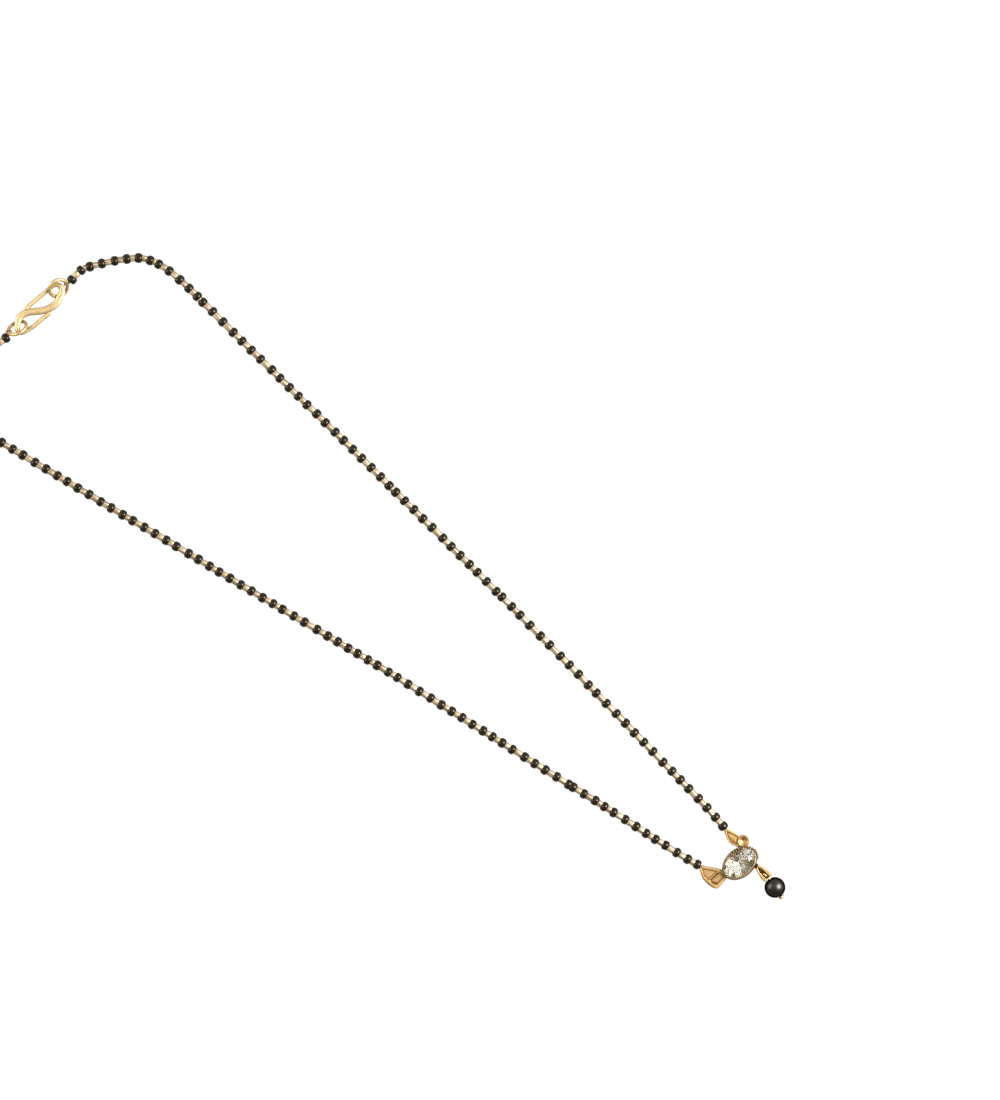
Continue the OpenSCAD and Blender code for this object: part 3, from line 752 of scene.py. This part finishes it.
def depth_inside(points, corners):
    """How far each flat point lies inside an outline, in millimetres, and below 0 outside it."""
    nearest = np.full(len(points), np.inf)
    inside = np.zeros(len(points), bool)
    for a, b in zip(corners, np.roll(corners, -1, axis=0)):
        along = np.clip(((points - a) @ (b - a)) / ((b - a) @ (b - a)), 0, 1)
        nearest = np.minimum(nearest, np.linalg.norm(points - a - along[:, None] * (b - a), axis=1))
        crosses = (a[1] > points[:, 1]) != (b[1] > points[:, 1])
        with np.errstate(divide="ignore", invalid="ignore"):
            at = a[0] + (points[:, 1] - a[1]) / (b[1] - a[1]) * (b[0] - a[0])
        inside ^= crosses & (points[:, 0] < at)
    return np.where(inside, nearest, -nearest)


def fine_copy(node, voxel, softening):
    """An even, fine mesh of a node with softened edges, in millimetres."""
    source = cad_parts[node]
    mesh = source.data.copy()
    mesh.transform(source.matrix_world)
    mesh.transform(((1000, 0, 0, 0), (0, 1000, 0, 0), (0, 0, 1000, 0), (0, 0, 0, 1)))
    maker = bpy.data.objects.new("maker", mesh)
    bpy.context.scene.collection.objects.link(maker)
    grid = maker.modifiers.new("grid", "REMESH")
    grid.mode = "VOXEL"
    grid.voxel_size = voxel
    soft = maker.modifiers.new("soft", "SMOOTH")
    soft.factor = 0.5
    soft.iterations = softening
    bpy.context.view_layer.update()
    made = bpy.data.meshes.new_from_object(maker.evaluated_get(bpy.context.evaluated_depsgraph_get()))
    bpy.data.objects.remove(maker)
    return made


warm_gold = gold_look("warm_gold", clean=(0.38, 0.235, 0.09), bright=(0.47, 0.31, 0.14),
                      shade=(0.15, 0.07, 0.017), rough=0.47, crease=0.0009)
rim_gold = gold_look("rim_gold", clean=(0.28, 0.2, 0.105), bright=(0.38, 0.29, 0.16),
                     shade=(0.11, 0.06, 0.02), rough=0.46, crease=0.0007)

body = fine_copy("setting", VOXEL, SOFTENING)
points = np.empty(len(body.vertices) * 3)
body.vertices.foreach_get("co", points)
points = points.reshape(-1, 3)
flat = points[:, :2] - STONE_MIDDLE[:2] / MM
height = points[:, 2].copy()
dark = np.zeros(len(points))

# The leaf's outer lower corner is round.
from_corner = flat - CORNER_AT
out = np.linalg.norm(from_corner, axis=1)
beyond = (from_corner < 0).all(axis=1) & (out > CORNER_R)
flat[beyond] = CORNER_AT + from_corner[beyond] * (CORNER_R / out[beyond])[:, None]


# Each cell of a leaf is a low pillow inside a groove, with fine engraved lines that follow its
# edge. The groove's wall is the inner side of the leaf's raised rim.
def carve(cell, floor, lines):
    """Lowers the top of a leaf to a grooved and engraved floor inside a cell, and paints shade into the
    groove and onto the floor.
    """
    deep = depth_inside(flat, cell)
    on_top = (height > LEAF_FROM) & (height < LEAF_TO)
    inside = (deep > 0) & on_top
    wall = LEAF_TOP - GROOVE_DEPTH * smooth_step(deep / WALL_W)
    pillow = (floor - LEAF_TOP + GROOVE_DEPTH) * smooth_step((deep - GROOVE_W / 2) / (1.5 * GROOVE_W))
    engraved = lines * (0.5 - 0.5 * np.cos((deep - 1.2 * GROOVE_W) / LINE_PITCH * 2 * math.pi))
    engraved *= smooth_step((deep - 1.2 * GROOVE_W) / WALL_W)
    height[inside] = (wall + pillow - engraved)[inside]
    # Shade is painted into the groove and, more lightly, over the cell's floor.
    in_groove = np.exp(-((deep - GROOVE_DARK_AT) / GROOVE_DARK_W) ** 2)
    shut = np.maximum(in_groove, CELL_DARK * smooth_step(deep / WALL_W))
    dark[on_top] = np.maximum(dark, shut)[on_top]


carve(upper_cell, UPPER_FLOOR, LINE_DEPTH)
carve(lower_cell, LOWER_FLOOR, 0)
carve(right_cell, LOWER_FLOOR, 1.5 * LINE_DEPTH)

# The outer side of the left leaf's rim slopes down.
on_leaf = depth_inside(flat, left_edge)
slope = (on_leaf > EDGE_REACH[0]) & (on_leaf < EDGE_REACH[1])
slope &= (height > EDGE_LOW) & (height < LEAF_TO) & (flat @ OUTER_SIDE > OUTER_FROM)
height[slope] -= (EDGE_SLOPE * (1 - smooth_step((on_leaf - EDGE_SLOPE_FROM) / EDGE_SLOPE_W)))[slope]

# The cup is a dish with a small pit beside its middle. Shade is painted into the pit and as a dark line
# round the dish's inner slope.
out = np.linalg.norm(flat - CUP_AT, axis=1)
dish = (out < CUP_R) & (height > CUP_FROM)
pit = np.linalg.norm(flat - PIT_AT, axis=1)
pit_depth = PIT_DEPTH * (1 - smooth_step((pit - 0.5 * PIT_R) / PIT_R))
height[dish] = (CUP_TOP - CUP_DEPTH * (1 - (out / CUP_R) ** 2) - pit_depth)[dish]
line_dark = CUP_LINE_DARK * np.exp(-((out - CUP_LINE_R) / CUP_LINE_W) ** 2)
dark[dish] = (PIT_DARK * np.exp(-(pit / PIT_R) ** 2) + line_dark)[dish]

# The oval wall thins towards its top: its inner edge is turned outwards, most of all on the side
# towards the clasp, and its outer side slopes.
ct, st = math.cos(OVAL_TURN), math.sin(OVAL_TURN)
own = flat @ np.array([[ct, -st], [st, ct]])
reach = np.linalg.norm(own / OVAL, axis=1)
across = ((reach - 1) * np.linalg.norm(own, axis=1) / reach + OVAL_WALL) / OVAL_WALL
on_wall = (height > RIM_FROM) & (across > RIM_REACH[0]) & (across < RIM_REACH[1])
high = smooth_step((height - RIM_FROM) / RIM_RISE) * on_wall
height -= RIM_DROP * high * smooth_step((across - RIM_DROP_FROM) / RIM_DROP_W)
angle = np.arctan2(own[:, 1] / OVAL[1], own[:, 0] / OVAL[0])
inner = np.stack([LIP_HALF[0] * np.cos(angle), STONE_SHIFT + LIP_HALF[1] * np.sin(angle)], axis=1)
outer = np.stack([OVAL[0] * np.cos(angle), OVAL[1] * np.sin(angle)], axis=1)
moved = inner + np.clip(across, 0, RIM_REACH[1])[:, None] * (outer - inner)
share = (high * (1 - smooth_step(across)))[:, None]
own += share * (moved - own)
flat = own @ np.array([[ct, st], [-st, ct]])

# Polishing has softened every edge.
points = np.column_stack([flat + STONE_MIDDLE[:2] / MM, height])
edges = np.empty(len(body.edges) * 2, int)
body.edges.foreach_get("vertices", edges)
a, b = edges.reshape(-1, 2).T
meeting = np.bincount(edges, minlength=len(points))
for stroke in range(POLISHING):
    for values in (*points.T, dark):
        around = np.bincount(a, values[b], len(points)) + np.bincount(b, values[a], len(points))
        values += 0.5 * (around / meeting - values)
body.vertices.foreach_set("co", (points * MM).ravel())
body.polygons.foreach_set("use_smooth", [True] * len(body.polygons))
# Shade is painted on the setting's upright and downward-facing sides, as well as in its grooves, cells
# and cup.
side_dark = SIDE_DARK * smooth_step((SIDE_UPRIGHT - upward(body)) / SIDE_FADE)
mark_painted_shade(body, np.maximum(dark, side_dark))
body.materials.clear()
body.materials.append(warm_gold)
body.materials.append(rim_gold)
on_rim = (points[:, 2] > RIM_GOLD_FROM) & (reach > RIM_GOLD_REACH[0]) & (reach < RIM_GOLD_REACH[1])
for polygon in body.polygons:
    polygon.material_index = int(on_rim[polygon.vertices[0]])
setting = bpy.data.objects.new("pendant_body", body)
bpy.context.scene.collection.objects.link(setting)
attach(setting, "root")
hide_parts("setting")

# Grains. Small round grains of gold are set along the edge of the oval wall: one row all the way
# round, and two more rows outside it on the side towards the right leaf and the bail.
GRAIN_R = 0.19
GRAIN_SIDES = 10
GRAIN_SIZES = (0.9, 1.08)
LIP_GRAINS = 40
OUTER_GRAINS = range(-34, 88, 9)
HALF_PITCH = math.radians(4.5)

# For each row of grains the oval that it follows and how far outside it, how far it is shifted
# towards the clasp, how far it lies below the rim's top, and its share of a grain's full size.
GRAIN_ROWS = {
    "lip": (LIP_HALF, 0.14, STONE_SHIFT, 0.12, 0.8),
    "upper": (OVAL, 0.05, 0, 0.5, 1),
    "lower": (OVAL, 0.2, 0, 0.95, 1),
}


def grain_shape():
    """A small round grain of radius 1, as rings of points between two poles."""
    rings = [(math.sin(a), math.cos(a)) for a in np.radians([-84, -55, -27, 0, 27, 55, 84])]
    points, faces = lathe(rings, GRAIN_SIDES)
    return points[:, [1, 2, 0]], faces


spots = [("lip", k * 2 * math.pi / LIP_GRAINS) for k in range(LIP_GRAINS)]
for degrees in OUTER_GRAINS:
    a = math.radians(degrees)
    spots += [("upper", a), ("lower", a + HALF_PITCH)]
turn = np.array([[ct, -st], [st, ct]])
places = []
for row, a in spots:
    oval, beyond, shift, below, size = GRAIN_ROWS[row]
    at = np.array([(oval[0] + beyond) * math.cos(a), (oval[1] + beyond) * math.sin(a) + shift])
    swell = np.eye(3) * GRAIN_R * size * MM * dice.uniform(*GRAIN_SIZES)
    places.append((swell, np.array([*(turn @ at * MM + STONE_MIDDLE[:2]), (RIM_TOP - below) * MM])))
points, faces = joined(grain_shape(), places)
new_piece("edge_grains", points, faces, rim_gold)

# Stone. An oval clear stone, cut with a table, stars, kites and halves above its girdle and with
# kites and halves below it, and silvered behind so that it throws the light back.
HALF_L = 4.1
HALF_W = 2.78
GIRDLE_Z = 2.75
GIRDLE_T = 0.15
CROWN_H = 1.0
PAVILION_H = 1.9
TABLE = 0.6
CROWN_MIDDLE = 0.8
PAVILION_MIDDLE = 0.5
HALF_STEP = math.cos(math.radians(22.5))


def stone_points(share, z, first):
    """Eight points round the stone at a share of the girdle's size, from a first angle on."""
    return [(share * HALF_L * math.cos(a), share * HALF_W * math.sin(a), z)
            for a in np.radians(np.arange(8) * 45 + first)]


crown_z = GIRDLE_T + CROWN_H * (1 - CROWN_MIDDLE * HALF_STEP) / (1 - TABLE)
pavilion_z = -PAVILION_H * (1 - PAVILION_MIDDLE * HALF_STEP)
stone = np.array(
    stone_points(TABLE, GIRDLE_T + CROWN_H, 0) + stone_points(CROWN_MIDDLE, crown_z, 22.5)
    + stone_points(1, GIRDLE_T, 0) + stone_points(1, GIRDLE_T, 22.5)
    + stone_points(1, 0, 0) + stone_points(1, 0, 22.5)
    + stone_points(PAVILION_MIDDLE, pavilion_z, 22.5) + [(0, 0, -PAVILION_H)]
)

# The first point of each ring of eight: the table's corners, the crown's middle, the girdle's upper
# corners and the points between them, its lower ones, and the pavilion's middle. Last is the tip.
TOP, CROWN, EDGE, MID, LOW_EDGE, LOW_MID, PAVILION, TIP = range(0, 57, 8)
faces = [tuple(range(8))]
for k in range(8):
    after = (k + 1) % 8
    before = (k + 7) % 8
    faces += [
        (TOP + k, CROWN + k, TOP + after),
        (TOP + k, CROWN + before, EDGE + k, CROWN + k),
        (CROWN + k, EDGE + k, MID + k),
        (CROWN + k, MID + k, EDGE + after),
    ]
crown_count = len(faces)
for k in range(8):
    after = (k + 1) % 8
    before = (k + 7) % 8
    faces += [
        (EDGE + k, LOW_EDGE + k, LOW_MID + k, MID + k),
        (MID + k, LOW_MID + k, LOW_EDGE + after, EDGE + after),
        (LOW_EDGE + k, PAVILION + k, LOW_MID + k),
        (LOW_MID + k, PAVILION + k, LOW_EDGE + after),
        (LOW_EDGE + k, PAVILION + before, TIP, PAVILION + k),
    ]
stone[:, 1] += STONE_SHIFT
stone[:, :2] = stone[:, :2] @ turn.T
stone[:, 2] += GIRDLE_Z

clear, tree, shader, add = new_look("clear_stone")
shader.inputs["Transmission Weight"].default_value = 1
shader.inputs["IOR"].default_value = 1.5
haze = add("ShaderNodeTexNoise", Scale=600, Detail=2)
shine_map = add("ShaderNodeMapRange", [("Value", haze.outputs["Fac"])], To_Min=0.0, To_Max=0.03)
tint = add("ShaderNodeMix", [("Factor", haze.outputs["Fac"])], data_type="RGBA",
           A=(1, 1, 0.98, 1), B=(0.95, 0.94, 0.9, 1))
tree.links.new(shine_map.outputs["Result"], shader.inputs["Roughness"])
tree.links.new(tint.outputs["Result"], shader.inputs["Base Color"])

# The foil behind the lower facets is given a brightness facet by facet, as painted reflections of light
# and dark across the stone: 1 is bright and 0 is dark. The facets are counted round from the right leaf's
# side, with one main facet and two halves in each eighth of a turn. The girdle stays bright.
MAIN_TONES = [0.4, 0.45, 0.1, 0.95, 0.8, 1, 0.4, 0]
HALF_TONES = [1, 0.8, 0, 0, 0.4, 1, 0.1, 1, 1, 0, 1, 0.3, 0.4, 0.1, 0.6, 1]
GIRDLE_TONE = 0.9

foil, tree, shader, add = new_look("silver_foil")
shader.inputs["Metallic"].default_value = 0.4
cloud = add("ShaderNodeTexNoise", Scale=900, Detail=3)
tone = add("ShaderNodeMix", [("Factor", cloud.outputs["Fac"])], data_type="RGBA",
           A=(1, 0.97, 0.9, 1), B=(0.96, 0.91, 0.8, 1))
gloss = add("ShaderNodeMapRange", [("Value", cloud.outputs["Fac"])], To_Min=0.25, To_Max=0.4)
bright = add("ShaderNodeAttribute", attribute_name="bright")
# The foil's colour runs from dark to its own tone by each facet's painted reflection.
painted_facet_reflections = add("ShaderNodeMix", [("Factor", bright.outputs["Fac"]), ("B", tone.outputs["Result"])],
             data_type="RGBA", A=(0.16, 0.12, 0.06, 1))
tree.links.new(painted_facet_reflections.outputs["Result"], shader.inputs["Base Color"])
tree.links.new(gloss.outputs["Result"], shader.inputs["Roughness"])

gem = new_piece("oval_stone", stone * MM + STONE_MIDDLE, faces, clear, ("stone",))
gem.data.materials.append(foil)
tones = [1] * crown_count
for k in range(8):
    tones += [GIRDLE_TONE, GIRDLE_TONE, *HALF_TONES[2 * k:2 * k + 2], MAIN_TONES[k]]
gem.data.attributes.new("bright", "FLOAT", "FACE").data.foreach_set("value", tones)
for polygon in gem.data.polygons:
    polygon.use_smooth = False
    polygon.material_index = int(polygon.index >= crown_count)

# Drop. A round black bead with a steely shine hangs from the bail on a gold headpin, whose wire
# is bent into an eye round the bail's bar and whose head closes the bead's hole below.
DROP_AT = (np.array(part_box("drop_bead")[0]) + np.array(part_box("drop_bead")[1])) / 2
DROP_R = 2.4
DROP_HALF = 2.25
DROP_MOUTH_R = 0.62
DROP_MOUTH_L = 0.12
DROP_HOLE_R = 0.36
DROP_TURN = math.radians(-106)
DROP_SIDES = 48
EYE_AT = (1.623, -6.081, 2.4)
EYE_R = 0.6
EYE_ANGLES = np.radians(np.arange(50, 323, 10))
EYE_NECK = 1.6
PIN_R = 0.25
PIN_ABOVE = 0.05
PIN_BELOW = 0.1
PIN_STEP = 0.12
PIN_SIDES = 20

# The head of the pin, as rows of a place along it and a radius.
PIN_HEAD = [(0.02, 0.5), (0.05, 0.66), (0.14, 0.75), (0.4, 0.75), (0.58, 0.6), (0.66, 0.4), (0.7, 0.12)]

steely, tree, shader, add = new_look("black_steel_shine")
shader.inputs["Metallic"].default_value = 1
shader.inputs["Specular Tint"].default_value = (0.05, 0.05, 0.05, 1)
# The bead's metal colour is darker on its lower part than on its top, by height above the table: painted
# shade, which keeps the white table from showing in its lower sides.
place = add("ShaderNodeTexCoord")
parts = add("ShaderNodeSeparateXYZ", [("Vector", place.outputs["Object"])])
shine_map = add("ShaderNodeMapRange", [("Value", parts.outputs["Z"])], From_Min=0.0034, From_Max=0.0042)
tone = add("ShaderNodeMix", [("Factor", shine_map.outputs["Result"])], data_type="RGBA",
           A=(0.012, 0.011, 0.01, 1), B=(0.05, 0.047, 0.042, 1))
cloud = add("ShaderNodeTexNoise", Scale=500, Detail=4)
gloss = add("ShaderNodeMapRange", [("Value", cloud.outputs["Fac"])], To_Min=0.31, To_Max=0.38)
bump = add("ShaderNodeBump", [("Height", cloud.outputs["Fac"])], Strength=0.12, Distance=0.00005)
tree.links.new(tone.outputs["Result"], shader.inputs["Base Color"])
tree.links.new(gloss.outputs["Result"], shader.inputs["Roughness"])
tree.links.new(bump.outputs["Normal"], shader.inputs["Normal"])

ball = [(DROP_R * math.sin(a), DROP_R * math.cos(a)) for a in np.radians(np.arange(-69, 70, 6))]
mouth = [(DROP_HALF, DROP_MOUTH_R), (DROP_HALF - DROP_MOUTH_L, DROP_HOLE_R)]
profile = ball + mouth + [(-x, r) for x, r in reversed(mouth)]
points, faces = lathe(profile, DROP_SIDES)
down = np.array([math.cos(DROP_TURN), math.sin(DROP_TURN)])
points = points @ turn_to(down).T * MM + [*DROP_AT[:2], DROP_R * MM]
new_piece("black_drop", points, faces, steely, ("drop_bead",))

middle = np.array([*DROP_AT[:2] / MM, DROP_R])
down = np.array([*down, 0])
eye = STONE_MIDDLE / MM + EYE_AT
entry = middle - down * (DROP_HALF + PIN_ABOVE)
toward = (entry - eye) / np.linalg.norm(entry - eye)
loop = [eye + EYE_R * (math.cos(a) * toward + math.sin(a) * np.array([0, 0, 1])) for a in EYE_ANGLES]
head = middle + down * (DROP_HALF + PIN_BELOW)
wire = smooth_curve(loop + [eye + toward * EYE_R * EYE_NECK, entry, middle, head], PIN_STEP)
radii = [PIN_R] * len(wire) + [r for _, r in PIN_HEAD]
wire = np.vstack([wire, *(head + down * along for along, _ in PIN_HEAD)])
points, faces = rod(wire, [(r, r) for r in radii], PIN_SIDES, np.cross([0, 0, 1], toward))
brass = gold_look("pin_gold", clean=(0.56, 0.37, 0.15), bright=(0.68, 0.49, 0.23),
                  shade=(0.28, 0.14, 0.04), rough=0.38, crease=0.0007)
new_piece("headpin", points * MM, faces, brass, ("drop_pin",))

size = {
    "cad": [list(cad_low), list(cad_high)],
    "visual": [list(v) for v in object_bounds()],
}
